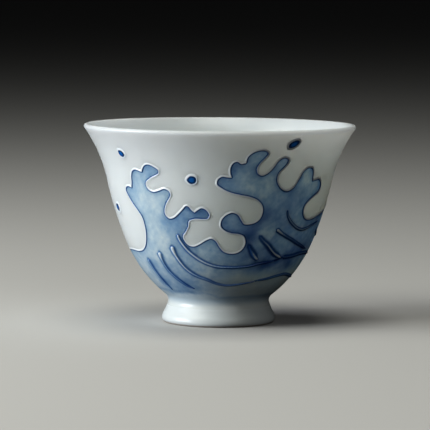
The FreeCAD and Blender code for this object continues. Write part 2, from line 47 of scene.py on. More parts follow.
# ---- the outline, the streaks, the drops and the clouds
# Outline of the blue waves: (angle, height) where the slip bead meets the blue glaze.
# The strokes run round the cup and each starts at the notch where the one before ends.
OUTLINE_STROKES = {
    "left_crescent_outline": [
        (-156.2, 43.4), (-155.2, 45.2), (-152.2, 46.8), (-148.4, 47.2), (-145, 46.2), (-143.6, 44.6),
        (-145, 43), (-147.8, 41.4), (-149.2, 39.6), (-148.2, 37.8), (-145.4, 37.2), (-141.8, 37.8),
        (-138.2, 38.6), (-135, 38), (-133.8, 36.2), (-135.2, 34.4), (-138.4, 33), (-141.4, 31.2),
        (-142.6, 29), (-141.6, 26.8), (-138.6, 25), (-134.4, 23.6), (-129, 22.6), (-121, 21.9), (-110, 21.4),
        (-98, 21.1), (-84, 21.2), (-70, 21.5), (-60, 21.5), (-54.5, 22.1), (-50, 23.7), (-47.2, 26.1),
        (-45.8, 29), (-46.2, 31.6), (-48.2, 33.4), (-51.2, 35.3), (-54, 37.5), (-55.2, 39.1), (-54, 40.2),
        (-52, 40.4), (-49.8, 40.1),
    ],
    "left_cloud_outline": [
        (-49.8, 40.1), (-49.1, 41.6), (-48.4, 43.4), (-47, 44.8), (-44.8, 45.35), (-42.4, 45.1),
        (-40.3, 44.8),
    ],
    "left_finger_outline": [
        (-40.3, 44.8), (-39.2, 46), (-37.2, 46.9), (-35, 47), (-32.4, 46.4), (-30.2, 45.5), (-30.8, 44.5),
        (-33.2, 43.8), (-36.2, 43), (-38.6, 42.1), (-39.1, 41.1), (-37.8, 39.9), (-35, 39.3), (-31.8, 39.7),
        (-28.4, 40.3), (-25.9, 39.8), (-25.1, 38.8), (-26.3, 37.5), (-28.2, 36.1), (-29.5, 34.4),
        (-29.6, 33), (-27.6, 31.95), (-25, 32.15), (-22, 33.3), (-19.2, 34.7), (-17.4, 35.7), (-16, 35.6),
        (-14.6, 34.7), (-12.9, 33.9),
    ],
    "middle_outline": [
        (-12.9, 33.9), (-11, 34.7), (-9, 35.2), (-6.8, 34.7), (-5.1, 33.4), (-5.9, 32.3), (-9, 32.1),
        (-13, 32.1), (-16.2, 31.4), (-17.1, 29.7), (-19, 28.1), (-20.8, 26.9), (-19.8, 25.4), (-17.4, 24.3),
        (-14.6, 24.15), (-11, 24.9), (-7.4, 26), (-4.2, 26.5), (-1.6, 25.7), (0.2, 24.2), (2.8, 22.8),
        (7.2, 22.15), (11.6, 22.5), (14.6, 23.8), (15.4, 25.5), (14, 27.2), (11, 27.85), (7, 28.1),
        (3.4, 28.8), (1, 30.1), (1.1, 31.6), (3.2, 33.1), (6.8, 33.95), (9.8, 33.4), (11.8, 31.9),
        (13.6, 30.7), (16.2, 30.6), (19.6, 31), (22.2, 32.1), (23.3, 34.2), (22.4, 36), (19.6, 37.5),
        (15.6, 38.4), (10.4, 39), (5.4, 39.7), (1.4, 40.8), (-1.1, 42), (-0.8, 43.3), (1.2, 44.15),
        (3.6, 44), (5.8, 43.9),
    ],
    "small_cloud_outline": [
        (5.8, 43.9), (5.1, 45.4), (5.2, 46.8), (6.5, 48.1), (8.3, 48.4), (9.9, 47.8), (12.2, 48),
    ],
    "right_fingers_outline": [
        (12.2, 48), (12.7, 49.6), (14.6, 50.8), (17.6, 51.5), (20.4, 51.5), (22.2, 50.7), (21, 49.4),
        (19, 48), (17.8, 46.5), (18.4, 45.1), (20.6, 44.4), (23.4, 45), (26, 46.6), (28.2, 48.6),
        (30.8, 49.4), (33.2, 48.8), (33.3, 47.8), (31.4, 46.3), (29.4, 44.9), (29.1, 43.1), (30.6, 41.4),
        (33.4, 40.1), (36.6, 39.8), (39.8, 40.8), (42.2, 42.9), (44.4, 45.2), (47.2, 46.2), (50.2, 46),
        (52, 44.6), (53, 42.3),
    ],
    "right_crest_outline": [
        (53, 42.3), (55.4, 42.5), (58.6, 42.6), (61.2, 41.6), (62.2, 40.3), (60.4, 38.8), (56.4, 37.7),
        (52.6, 36.4), (50.5, 34.9), (51, 33.1), (53.6, 31.6), (57.4, 31), (63, 31.2), (70, 31.9), (78, 32.8),
        (86, 34), (92.6, 35.8), (96.8, 38.4), (98.6, 41.2), (98.2, 44), (98, 46.6), (100.4, 48.6),
        (103.8, 48.8), (106.5, 47.6),
    ],
    "back_fingers_outline": [
        (106.5, 47.6), (107.6, 49.6), (110.6, 51.2), (114.4, 51.6), (117.8, 51), (119.2, 49.6), (118, 47.8),
        (115.6, 46.2), (114.6, 44.4), (115.8, 42.8), (118.6, 42.4), (122, 43.6), (125.6, 45.8),
        (129.4, 47.2), (132.6, 46.8), (133.8, 45.2), (132, 43.2), (129.4, 41.4), (128.4, 39.4), (130, 37.6),
        (133.4, 37), (137.4, 38.2), (141.4, 40), (145.2, 40.2), (147.6, 38.8), (146.6, 36.8), (142.8, 35.2),
        (139, 33.6), (137.4, 31.4), (138.6, 29), (142.4, 27), (148, 26.2), (154, 27.2), (159.2, 29.6),
        (163.6, 31.4), (167.8, 31.5), (170.8, 30.4),
    ],
    "back_curl_outline": [
        (170.8, 30.4), (173.2, 31.7), (176.8, 32.4), (180.6, 31.6), (182.6, 29.8), (181.8, 27.6),
        (179.4, 25.8), (178.8, 23.8), (181.6, 22.2), (186.4, 21.6), (192, 22.4), (196.8, 24.8),
        (200.2, 28.2), (202, 32), (201.6, 35.8), (199.2, 38.8), (197.4, 41.4), (198.8, 43.6), (201.4, 44.2),
        (203.8, 43.4),
    ],
}

# Streaks of slip inside the waves. Each has its width factor (head, tail), the spread of the dark glaze pooled
# beside it (head, tail), how pale its crown is (head, tail, how far the head's value reaches), and its line.
# The pale crown is partly glaze running thin over the ridge and partly a painted highlight.
STREAKS = {
    "left_wave_streaks": [
        ((1.0, 0.8), (0.5, 0.4), (1.0, 0.5, 24.0), [
            (-23.9, 27.4), (-23.4, 26.2), (-21.6, 24.6), (-18.8, 22.8), (-15, 21.2), (-10.4, 19.8),
            (-5.4, 18.8), (0, 18.25), (7, 18.1), (15, 18.15), (20, 18.35), (25, 18.8), (30, 19.2),
            (37.5, 19.6),
        ]),
        ((1.8, 0.8), (0.75, 0.2), (1.0, 0.1, 15.0), [
            (-29.1, 23.9), (-28.7, 22.6), (-27.4, 21), (-25.2, 19.1), (-22.4, 17.4), (-18.8, 16.1),
            (-14.2, 15.1), (-8.6, 14.3), (-2, 13.2), (5, 12.65), (12, 12.7), (20, 13.1), (28, 13.6),
        ]),
        ((1.9, 0.7), (0.8, 0.4), (1.0, 0.45, 1.4), [
            (-39.8, 21.9), (-39.6, 20.4), (-38.8, 18.4), (-37.2, 16.6), (-34.4, 15), (-30.6, 13.5),
            (-26, 12.2), (-20.6, 11.3),
        ]),
        ((1.2, 0.9), (0.8, 0.5), (0.45, 0.55, 3.5), [
            (-53.4, 19.4), (-52.4, 17), (-50.8, 14.6), (-48.8, 12.2), (-46, 10.5),
        ]),
    ],
    "right_wave_streaks": [
        ((0.4, 1.3), (1.0, 0.9), (0.3, 1.0, 3.5), [
            (17.9, 24.4), (19.8, 23), (21.8, 21.7), (24, 20.6), (25.4, 20.4),
        ]),
        ((0.7, 1.3), (0.6, 0.9), (0.4, 1.0, 5.0), [
            (23.6, 27.1), (26.4, 25.7), (29.8, 24.4), (33.2, 22.9), (36.6, 21.7), (40.2, 20.9), (42.6, 20.4),
        ]),
        ((1.4, 0.6), (0.35, 0.2), (1.0, 0.3, 3.5), [
            (33.6, 28.9), (37.2, 27.8), (41.6, 26.7), (46.6, 25.7), (52, 24.6), (58, 23.6), (64, 22.7),
            (69, 22.2),
        ]),
        ((0.6, 0.5), (0.12, 0.1), (0.6, 0.6, 3.5), [
            (38.3, 34.2), (39.4, 32.7), (41.8, 31.2), (45.2, 29.9), (49.4, 28.8), (54.2, 28.3), (60, 28.7),
            (66, 29.4), (72, 30),
        ]),
        ((1.0, 0.9), (0.5, 0.5), (0.4, 0.4, 3.5), [
            (44.5, 20.5), (50, 20.5), (56, 20.7), (62, 21), (69, 21), (77, 20.7), (86, 20.2),
        ]),
        ((0.6, 1.0), (0.2, 0.45), (0.1, 0.3, 3.5), [
            (31, 13.9), (38, 14.2), (47, 14.8), (56, 15.1), (66, 14.5), (78, 13.6), (90, 13.1),
        ]),
        ((1.3, 0.8), (0.5, 0.4), (0.6, 0.3, 3.5), [
            (76, 27.6), (82, 26.2), (90, 25.2), (98, 25), (106, 25.6),
        ]),
    ],
    "back_wave_streaks": [
        ((1.4, 0.7), (0.36, 0.3), (1.0, 0.5, 3.5), [
            (106, 41.6), (107.6, 38.6), (110.4, 35.4), (114.4, 32.2), (119.6, 29.2), (126, 26.4),
            (133.6, 23.8), (142, 21.8), (151, 20.6),
        ]),
        ((1.5, 0.7), (0.34, 0.3), (1.0, 0.4, 3.5), [
            (100.4, 34), (103, 30.8), (107.4, 27.6), (113.6, 24.4), (121.4, 21.4), (130.4, 18.8),
            (140.6, 16.8),
        ]),
        ((1.2, 0.8), (0.36, 0.3), (0.9, 0.4, 3.5), [
            (152, 23.2), (159, 23.6), (165.6, 25.2), (171.2, 27.2),
        ]),
        ((1.5, 0.8), (0.6, 0.5), (0.6, 0.4, 3.5), [
            (94, 20.4), (101, 18.4), (109.6, 16.4), (119.4, 14.6), (130, 13.2),
        ]),
        ((1.4, 0.8), (0.34, 0.3), (1.0, 0.5, 3.5), [
            (206.4, 39.6), (206.8, 36.6), (206.2, 33.2), (204.2, 29.6), (200.8, 26.2), (196.2, 23),
            (190.4, 20.4), (183.2, 18.6), (174.6, 17.6),
        ]),
        ((1.5, 0.7), (0.36, 0.3), (1.0, 0.4, 3.5), [
            (213.4, 31.6), (211.8, 27.8), (208.6, 24.2), (204, 20.8), (197.8, 17.8), (190, 15.4),
            (180.6, 13.8),
        ]),
        ((1.6, 0.9), (0.9, 0.6), (0.8, 0.2, 3.5), [
            (226, 20.4), (221.6, 17.4), (216, 14.8), (209.2, 12.8),
        ]),
        ((1.4, 0.8), (0.9, 0.6), (0.8, 0.2, 3.5), [
            (262, 18.2), (256, 15.8), (248.6, 13.6), (239.6, 11.9),
        ]),
    ],
}

# Places where the dark glaze runs on between the ends of two streaks.
BRIDGES = [
    [(27.5, 13.55), (31.5, 13.95)],
    [(36.5, 19.55), (40.5, 19.9), (45.0, 20.5)],
    [(41.5, 20.6), (43.5, 20.4)],
]

# Spray drops: angle, height, mean radius, width over height, tilt, and a brightness factor for the blue that
# is painted light: the right drop's 2.2 lightens a drop that sits in shade.
DROPS = [
    (-51, 49.7, 1.15, 1.25, -30, 1), (-13.4, 43.1, 1.27, 1.14, 8, 1), (33.4, 53.2, 1.42, 1.6, 31, 2.2),
    (-70.6, 33.7, 1.2, 1.06, -10, 1), (96, 50, 1.2, 1.1, -12, 1), (157, 44.2, 1.25, 1.08, 15, 1),
    (171, 38.6, 1.15, 1.2, -20, 1), (234, 46.6, 1.25, 1.06, 5, 1), (258, 38.4, 1.15, 1.2, -8, 1),
]

# Clouds of the cobalt wash: angle, height, radius and added depth.
CLOUDS = {
    "left crest": [
        (-35, 45.6, 2.6, 0.85), (-47.5, 38.5, 3, 0.3), (-52.5, 39, 2, 0.2), (-33, 37.5, 3.2, -0.12),
        (-28, 38.4, 1.8, 0.25), (-46, 30, 2, 0.15), (-27, 30.5, 3, 0.7), (-20.5, 33, 2.8, 0.55),
        (-9, 33.6, 2.6, 0.6), (-15.8, 35, 1.3, 1.3), (-10, 34.2, 1.6, 0.6), (-38, 29, 3.4, -0.25),
        (-41, 36, 2.6, -0.15), (-31, 24.5, 3, -0.15),
    ],
    "left belly": [
        (-70, 19, 3.5, 0.25), (-50.5, 17.5, 2.3, 0.8), (-48.5, 13, 2.4, 1.5), (-36.5, 17, 2.2, 0.55),
        (-29, 13.5, 2.6, 0.7), (-22, 12, 2.6, 0.75), (-24.5, 24.5, 2.6, 0.45), (-16.5, 22.5, 2.8, 0.4),
        (-32, 18.5, 2.4, -0.1), (-42.5, 14.5, 2.2, -0.2), (-62, 13, 4, -0.1),
    ],
    "right wave": [
        (17.2, 27, 2, 2), (20.5, 29.3, 2, 0.8), (26.5, 33.2, 2.8, 0.9), (25, 38, 2.2, 0.35),
        (1.5, 42.6, 1.8, 1), (6.3, 46.6, 1.3, 0.9), (19.5, 42, 3, -0.3), (18, 21.5, 2, 0.5),
        (5, 31.5, 2.2, 0.4), (8, 20.5, 2.2, 0.5), (24, 23.5, 1.6, 0.5), (24.5, 19.5, 1.2, 1.6),
        (32, 22, 2.4, 0.6), (38.5, 24, 2.2, 0.1), (30, 18.6, 1.6, 2.2), (35, 18.9, 1.5, 1.8),
        (40.5, 19.8, 1.2, 2.2), (47, 20.6, 2.2, 1.2), (53.5, 18.2, 1.8, 1.4), (55, 21.5, 2.4, 0.9),
        (63, 22.5, 2.6, 1.2), (40, 30, 2.4, 0.1), (47, 28.5, 2, 0.1), (60, 27, 3, 0.1), (70, 27, 4, 0.5),
        (49, 43, 3, -0.35), (58, 38.8, 2.2, -0.3), (46, 36.6, 1.6, 0.4), (50.5, 38.8, 1.6, 0.4),
        (55.5, 41.2, 1.5, -0.2), (33, 46, 2, 0.15), (28.5, 29.5, 1.8, 0.1), (33.5, 32.2, 1.8, 0.45),
        (38.5, 35, 1.8, 0.4), (24, 43, 2.2, -0.3), (13, 43, 3, -0.15),
    ],
    "back waves": [
        (117, 37, 3.2, 0.5), (140, 24, 3, 0.6), (197, 33, 3, 0.5), (222, 19, 3, 0.5), (128, 16, 3.4, 0.5),
        (168, 22, 3, 0.4), (188, 18, 3.2, 0.5), (245, 15, 3.2, 0.4), (180, 13, 4, -0.3), (100, 30, 3, 0.4),
        (210, 42, 2.4, 0.3),
    ],
}

# ---- camera and lights
CAMERA_DISTANCE = 0.800
CAMERA_HEIGHT = 0.0993
CAMERA_LENS = 233.7
SENSOR_WIDTH = 36.0
LOOK_DOWN = 4.90
LOOK_LEFT = 0.086
CAMERA_ROLL = 0.42

LIGHT_DISTANCE = 0.8
AIM_HEIGHT = 0.03

# Soft boxes aimed at the middle of the cup: angle, elevation, width and height, watts and colour.
LIGHTS = {
    "window_low": (-78.0, 4.0, (0.5, 0.32), 8.0, (0.965, 1.0, 1.09)),
    "window_high": (-66.0, 38.0, (0.6, 0.5), 3.6, (1.0, 1.0, 0.9)),
    "skylight": (0.0, 85.0, (0.4, 0.4), 2.1, (1.0, 1.0, 0.93)),
    "room_fill": (20.0, 24.0, (0.6, 0.3), 0.62, (1.0, 1.0, 1.0)),
}
ROOM_COLOUR = (0.94, 0.97, 1.0, 1.0)
ROOM_STRENGTH = 0.005


def rotation(degrees, axis):
    """A turn about one axis."""
    return Matrix.Rotation(math.radians(degrees), 4, axis)


def make_camera():
    """A long lens a little above the lip, looking slightly down on the cup."""
    data = bpy.data.cameras.new("camera")
    data.sensor_width = SENSOR_WIDTH
    data.lens = CAMERA_LENS
    data.clip_start = 0.01
    data.clip_end = 100.0
    camera = bpy.data.objects.new("camera", data)
    bpy.context.scene.collection.objects.link(camera)
    place = Matrix.Translation((0.0, -CAMERA_DISTANCE, CAMERA_HEIGHT))
    turn = rotation(LOOK_LEFT, "Z") @ rotation(90.0 - LOOK_DOWN, "X") @ rotation(CAMERA_ROLL, "Z")
    camera.matrix_world = place @ turn
    bpy.context.scene.camera = camera


def make_lights():
    """Window light from low and from high on the left, a skylight and a weak front fill, in a dim room."""
    for name, (angle, elevation, size, watts, colour) in LIGHTS.items():
        data = bpy.data.lights.new(name, "AREA")
        data.shape = "RECTANGLE"
        data.size, data.size_y = size
        data.energy = watts
        data.color = colour
        light = bpy.data.objects.new(name, data)
        bpy.context.scene.collection.objects.link(light)
        aim = rotation(angle, "Z") @ rotation(90.0 - elevation, "X")
        middle = Matrix.Translation((0.0, 0.0, AIM_HEIGHT))
        light.matrix_world = middle @ aim @ Matrix.Translation((0.0, 0.0, LIGHT_DISTANCE))
    world = bpy.data.worlds.new("room")
    world.use_nodes = True
    feed(world.node_tree.nodes["Background"], {"Color": ROOM_COLOUR, "Strength": ROOM_STRENGTH})
    bpy.context.scene.world = world
    bpy.context.scene.view_settings.view_transform = "Standard"


# ---- the wall of the bowl
# Points of the profile: radius and height.
SEAT = (14.88, 5.0)
HIP = (15.37, 8.05)
BELLY = (26.47, 22.59)
WAIST = (32.22, 40.52)
LIP = (38.87, 55.85)
CREST = (38.3, 56.95)
INNER_LIP = (37.73, 56.65)
INNER_WAIST = (30.26, 40.96)
INNER_BELLY = (24.26, 23.52)
INNER_FLOOR = (0.0, 7.4)

# Arcs of the profile: first point, last point, radius, and side on which the centre lies (1 left, -1 right).
OUTER_ARCS = [(SEAT, HIP, 2.4, -1), (HIP, BELLY, 37.6, 1), (BELLY, WAIST, 107.0, 1), (WAIST, LIP, 41.1, -1)]
LIP_ARCS = [(LIP, CREST, 0.7, 1), (CREST, INNER_LIP, 0.7, 1)]
INNER_ARCS = [(INNER_LIP, INNER_WAIST, 36.7, 1), (INNER_WAIST, INNER_BELLY, 105.0, -1),
              (INNER_BELLY, INNER_FLOOR, 26.3, -1)]

# The slip smoothed over the joint of bowl and foot ring.
JOINT_SLOPE = 0.134
JOINT_REACH = 1.3

# How far the thrown wall stands off the true circle.
OVAL = 0.07
THREE_SIDED = 0.04
THROWING_RINGS = 0.012

SLOPE_STEP = 0.02


def arc_centre(first, last, radius, side):
    """Centre of the arc from first to last; side 1 is left of the way between them, and -1 is right."""
    first = np.array(first)
    last = np.array(last)
    way = last - first
    length = np.hypot(*way)
    left = np.array((-way[1], way[0])) / length
    return (first + last) / 2 + left * side * math.sqrt(radius ** 2 - (length / 2) ** 2)


def arc_points(first, last, radius, side, spacing):
    """Points along the arc from first to last, without the last one."""
    centre = arc_centre(first, last, radius, side)
    start = math.atan2(first[1] - centre[1], first[0] - centre[0])
    sweep = math.atan2(last[1] - centre[1], last[0] - centre[0]) - start
    sweep = (sweep + math.pi) % (2 * math.pi) - math.pi
    count = max(int(round(abs(sweep) * radius / spacing)), 2)
    turns = start + sweep * np.arange(count) / count
    return [(centre[0] + radius * math.cos(t), centre[1] + radius * math.sin(t)) for t in turns]


def joint_fillet(height):
    """A slight fullness on both sides of the joint of bowl and foot ring."""
    away = np.abs(np.asarray(height, dtype=float) - SEAT[1])
    return JOINT_SLOPE * away * np.maximum(1.0 - away / JOINT_REACH, 0.0) ** 2


def wall_radius(height):
    """Outside radius of the bowl at each height."""
    height = np.asarray(height, dtype=float)
    result = np.zeros_like(height)
    bottom = -math.inf
    for first, last, radius, side in OUTER_ARCS:
        centre = arc_centre(first, last, radius, side)
        top = last[1] if last != LIP else math.inf
        here = (height > bottom) & (height <= top)
        reach = np.sqrt(np.maximum(radius ** 2 - (height - centre[1]) ** 2, 0.0))
        result = np.where(here, centre[0] + side * reach, result)
        bottom = top
    return result + joint_fillet(height)


def unevenness(turn, height):
    """How far the hand-thrown wall stands off the true circle."""
    oval = OVAL * np.sin(2 * turn + 0.7)
    three_sided = THREE_SIDED * np.sin(3 * turn + 2.1 + height * 0.05)
    rings = THROWING_RINGS * np.sin(height * 1.35 + 0.8 * np.sin(turn))
    return oval + three_sided + rings


def circle(radius, height, turn):
    """Points at one height all round the cup."""
    return np.stack([radius * np.sin(turn), -radius * np.cos(turn), height + 0 * turn], axis=-1)


def wall_normals(angle, height):
    """Outward normals of the outside wall."""
    turn = np.radians(angle)
    slope = (wall_radius(height + SLOPE_STEP) - wall_radius(height - SLOPE_STEP)) / (2 * SLOPE_STEP)
    normals = np.stack([np.sin(turn), -np.cos(turn), -slope], axis=-1)
    return normals / np.linalg.norm(normals, axis=-1, keepdims=True)


def wall_points(angle, height, lift=0.0):
    """Points on the outside wall, raised by lift along the normal."""
    turn = np.radians(angle)
    points = circle(wall_radius(height) + unevenness(turn, height), height, turn)
    return points + wall_normals(angle, height) * np.asarray(lift)[..., None]


def angle_height(points):
    """Angle and height of points near the wall."""
    return np.degrees(np.arctan2(points[..., 0], -points[..., 1])), points[..., 2]


def on_wall(points):
    """Points brought back onto the wall at their own angle and height."""
    return wall_points(*angle_height(points))


def distance_from(points, angle, height):
    """Distance of points from one place on the wall."""
    return np.linalg.norm(points - wall_points(np.array([angle]), np.array([height])), axis=-1)


# ---- curves along the wall
# One degree round the cup, in millimetres of a wall unrolled at a radius of 28.
DEGREE = math.radians(28.0)
CURVE_STEPS = 24


def between(first, last, start, end, t):
    """The place at t on the way from first, at start, to last, at end."""
    return first * (end - t) / (end - start) + last * (t - start) / (end - start)


def smooth(points, spacing):
    """A centripetal Catmull-Rom curve through (angle, height) points, sampled evenly along the wall."""
    flat = np.array([(angle * DEGREE, height) for angle, height in points])
    flat = np.vstack([2 * flat[0] - flat[1], flat, 2 * flat[-1] - flat[-2]])
    dense = []
    part = np.arange(CURVE_STEPS)[:, None] / CURVE_STEPS
    for p0, p1, p2, p3 in zip(flat, flat[1:], flat[2:], flat[3:]):
        t0 = 0.0
        t1 = t0 + math.sqrt(np.linalg.norm(p1 - p0))
        t2 = t1 + math.sqrt(np.linalg.norm(p2 - p1))
        t3 = t2 + math.sqrt(np.linalg.norm(p3 - p2))
        t = t1 + (t2 - t1) * part
        early = between(between(p0, p1, t0, t1, t), between(p1, p2, t1, t2, t), t0, t2, t)
        late = between(between(p1, p2, t1, t2, t), between(p2, p3, t2, t3, t), t1, t3, t)
        dense.append(between(early, late, t1, t2, t))
    dense = np.vstack(dense + [flat[-2:-1]])
    places = wall_points(dense[:, 0] / DEGREE, dense[:, 1])
    lengths = np.concatenate([[0.0], np.cumsum(np.linalg.norm(np.diff(places, axis=0), axis=1))])
    count = max(int(round(lengths[-1] / spacing)), 4)
    wanted = np.linspace(0.0, lengths[-1], count + 1)
    angle = np.interp(wanted, lengths, dense[:, 0] / DEGREE)
    height = np.interp(wanted, lengths, dense[:, 1])
    return angle, height, wanted


def sides(angle, height):
    """Unit vectors along the wall, left of the way along a stroke as seen from outside."""
    way = np.gradient(wall_points(angle, height), axis=0)
    side = np.cross(wall_normals(angle, height), way)
    return side / np.linalg.norm(side, axis=1, keepdims=True)


def make_tree(points):
    """A search tree of points."""
    tree = kdtree.KDTree(len(points))
    for number, point in enumerate(points):
        tree.insert(point, number)
    tree.balance()
    return tree


def nearest(tree, query):
    """Distance from each query point to the tree's nearest point, and that point's number."""
    found = [tree.find(point) for point in query]
    return np.array([f[2] for f in found]), np.array([f[1] for f in found])


# ---- how far the wall is from the outline
OUTLINE_SPACING = 0.12


def dense_outline():
    """The whole outline as closely spaced (angle, height) points, in order round the cup."""
    parts = []
    for points in OUTLINE_STROKES.values():
        angle, height, unused_length = smooth(points, OUTLINE_SPACING)
        parts.append(np.stack([angle[:-1], height[:-1]], axis=1))
    return np.vstack(parts)


OUTLINE = dense_outline()
OUTLINE_POINTS = wall_points(OUTLINE[:, 0], OUTLINE[:, 1])
OUTLINE_TREE = make_tree(OUTLINE_POINTS)


def outline_distance(query):
    """Distance from points on the wall to the outline, measured to its straight pieces."""
    best, number = nearest(OUTLINE_TREE, query)
    for step in (-1, 1):
        first = OUTLINE_POINTS[number]
        way = OUTLINE_POINTS[(number + step) % len(OUTLINE_POINTS)] - first
        share = np.sum((query - first) * way, axis=1) / np.sum(way * way, axis=1)
        foot = first + way * np.clip(share, 0.0, 1.0)[:, None]
        best = np.minimum(best, np.linalg.norm(query - foot, axis=1))
    return best


def crossings(angle):
    """Heights at which the outline crosses one angle."""
    away = (OUTLINE[:, 0] - angle + 180.0) % 360.0 - 180.0
    after = np.roll(away, -1)
    height = OUTLINE[:, 1]
    height_after = np.roll(height, -1)
    hits = ((away <= 0) != (after <= 0)) & (np.abs(away - after) < 90.0)
    share = away[hits] / (away[hits] - after[hits])
    return height[hits] + share * (height_after[hits] - height[hits])


# ---- how far the wall is from the streaks
# Half width of a streak, and how far its head's and its tail's own width and their round ends reach.
STREAK_HALF = 0.425
HEAD_TAPER = 3.2
TAIL_TAPER = 3.6
HEAD_ROUND = 0.5
TAIL_ROUND = 0.6

# A long streak gets thinner by this share, over this stretch of its length.
THINNING = 0.4
THIN_FROM = 10.0
THIN_OVER = 10.0

# The pool of dark glaze shrinks to this share over the last stretch of a streak.
POOL_AT_TIP = 0.3
POOL_FADE = 2.0

# Every pool's distances are scaled to this spread.
POOL_REFERENCE = 0.35

# Half width, spread of the pool and paleness of the dark glaze that runs on between two streaks.
BRIDGE_TRAITS = (0.12, 0.35, 0.0)
SAMPLE_SPACING = 0.15

# What streak_mm says where there is no streak.
NO_STREAK = 6.0


def rounded(share):
    """0 at the tip of a round end, rising along a quarter circle to 1."""
    return np.sqrt(1.0 - (1.0 - np.clip(share, 0.0, 1.0)) ** 2)


def streak_width(width, length):
    """Half width of a streak along its length."""
    head, tail = width
    left = length[-1] - length
    full = 1.0 + (head - 1.0) * np.clip(1.0 - length / HEAD_TAPER, 0.0, 1.0)
    full = full + (tail - 1.0) * np.clip(1.0 - left / TAIL_TAPER, 0.0, 1.0)
    full = full * (1.0 - THINNING * np.clip((length - THIN_FROM) / THIN_OVER, 0.0, 1.0))
    ends = np.minimum(length / (HEAD_ROUND * head), left / (TAIL_ROUND * tail))
    return STREAK_HALF * full * rounded(ends)


def pool_spread(pool, length):
    """Spread of the dark glaze beside a streak, along its length."""
    head, tail = pool
    along = head + (tail - head) * length / length[-1]
    return along * np.clip((length[-1] - length) / POOL_FADE, POOL_AT_TIP, 1.0)


def paleness(pale, length):
    """How pale the crown is: its head value as far as it reaches, then its tail value."""
    head, tail, reach = pale
    return tail + (head - tail) * np.exp(-((length / reach) ** 2))


def streak_samples():
    """Every streak as points on the wall, with half width, spread of the pool and paleness at each."""
    points = []
    traits = []
    for streaks in STREAKS.values():
        for width, pool, pale, line in streaks:
            angle, height, length = smooth(line, SAMPLE_SPACING)
            points.append(wall_points(angle, height))
            own = (streak_width(width, length), pool_spread(pool, length), paleness(pale, length))
            traits.append(np.stack(own, axis=1))
    for line in BRIDGES:
        angle, height, unused_length = smooth(line, SAMPLE_SPACING)
        points.append(wall_points(angle, height))
        traits.append(np.tile(BRIDGE_TRAITS, (len(angle), 1)))
    return np.vstack(points), np.vstack(traits)


STREAK_POINTS, STREAK_TRAITS = streak_samples()
STREAK_TREE = make_tree(STREAK_POINTS)


def streak_distance(query):
    """Distance past the nearest streak's edge, scaled so that each pool fades over POOL_REFERENCE."""
    distance, number = nearest(STREAK_TREE, query)
    half, pool, pale = STREAK_TRAITS[number].T
    past = distance - half
    scaled = np.where(past > 0, past * POOL_REFERENCE / pool, past * pale)
    return np.clip(scaled, -1.0, NO_STREAK)


def cloud_depth(query):
    """Added depth of cobalt from the listed clouds."""
    depth = np.zeros(len(query))
    for clouds in CLOUDS.values():
        for angle, height, radius, added in clouds:
            depth += added * np.exp(-(distance_from(query, angle, height) / radius) ** 2)
    return depth


# ---- meshes
SHARP_ANGLE = 55.0


def new_piece(name, points, faces, fields, material):
    """A mesh piece with its point fields, which rides on the root body and replaces the node of its name."""
    mesh = bpy.data.meshes.new(name)
    mesh.from_pydata((np.asarray(points) * MM).tolist(), [], faces)
    mesh.validate()
    for field_name, values in fields.items():
        attribute = mesh.attributes.new(field_name, "FLOAT", "POINT")
        attribute.data.foreach_set("value", np.asarray(values, dtype=np.float32))
    mesh.polygons.foreach_set("use_smooth", [True] * len(mesh.polygons))
    mesh.set_sharp_from_angle(angle=math.radians(SHARP_ANGLE))
    mesh.materials.append(material)
    mesh.update()
    piece = bpy.data.objects.new(name, mesh)
    bpy.context.scene.collection.objects.link(piece)
    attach(piece, "root")
    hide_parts(name)
    return piece


def band_faces(below, above, columns, closed):
    """Quads between two rows of points, given by the number of each row's first point."""
    faces = []
    for column in range(columns if closed else columns - 1):
        after = (column + 1) % columns
        faces.append((below + column, below + after, above + after, above + column))
    return faces


def grid_faces(rows, columns, closed_rows, closed_columns, start=0):
    """Quads of a grid whose points run along the columns of each row."""
    faces = []
    for row in range(rows if closed_rows else rows - 1):
        above = start + (row + 1) % rows * columns
        faces += band_faces(start + row * columns, above, columns, closed_columns)
    return faces


def fan_faces(row, columns, centre, upwards):
    """Triangles from a closed row of points to one point in its middle."""
    faces = []
    for column in range(columns):
        first = row + column
        after = row + (column + 1) % columns
        faces.append((first, after, centre) if upwards else (after, first, centre))
    return faces


def strip_faces(rows, columns):
    """Faces of a strip of closed rows with both ends capped."""
    faces = grid_faces(rows, columns, False, True)
    faces.append(tuple(range(columns)))
    faces.append(tuple((rows - 1) * columns + c for c in reversed(range(columns))))
    return faces


# ---- shader helpers
def feed(made, inputs):
    """Give each named or numbered input of a node its value, or a link from another node's output."""
    for key, value in inputs.items():
        if isinstance(value, bpy.types.NodeSocket):
            made.id_data.links.new(value, made.inputs[key])
        else:
            made.inputs[key].default_value = value


def node(kind, inputs, tree=None, **settings):
    """A shader node with its inputs and settings, in the given tree or in its first linked input's tree."""
    if tree is None:
        tree = next(value.id_data for value in inputs.values() if isinstance(value, bpy.types.NodeSocket))
    made = tree.nodes.new(kind)
    for key, value in settings.items():
        setattr(made, key, value)
    feed(made, inputs)
    return made


def maths(operation, *values):
    """The output of a maths node on numbers and other outputs."""
    return node("ShaderNodeMath", dict(enumerate(values)), operation=operation).outputs[0]


def plus(first, second):
    """The sum of two values."""
    return maths("ADD", first, second)


def times(first, second):
    """The product of two values."""
    return maths("MULTIPLY", first, second)


def times_plus(value, factor, added):
    """A value multiplied and then added to."""
    return maths("MULTIPLY_ADD", value, factor, added)


def mix(factor, first, second, **settings):
    """The output of a mix node, which goes from first to second as the factor goes from 0 to 1."""
    return node("ShaderNodeMix", {"Factor": factor, "A": first, "B": second}, **settings).outputs["Result"]


def smoothstep(value, low, high):
    """0 at low, 1 at high and a soft step between."""
    inputs = {"Value": value, "From Min": low, "From Max": high}
    return node("ShaderNodeMapRange", inputs, interpolation_type="SMOOTHSTEP").outputs["Result"]


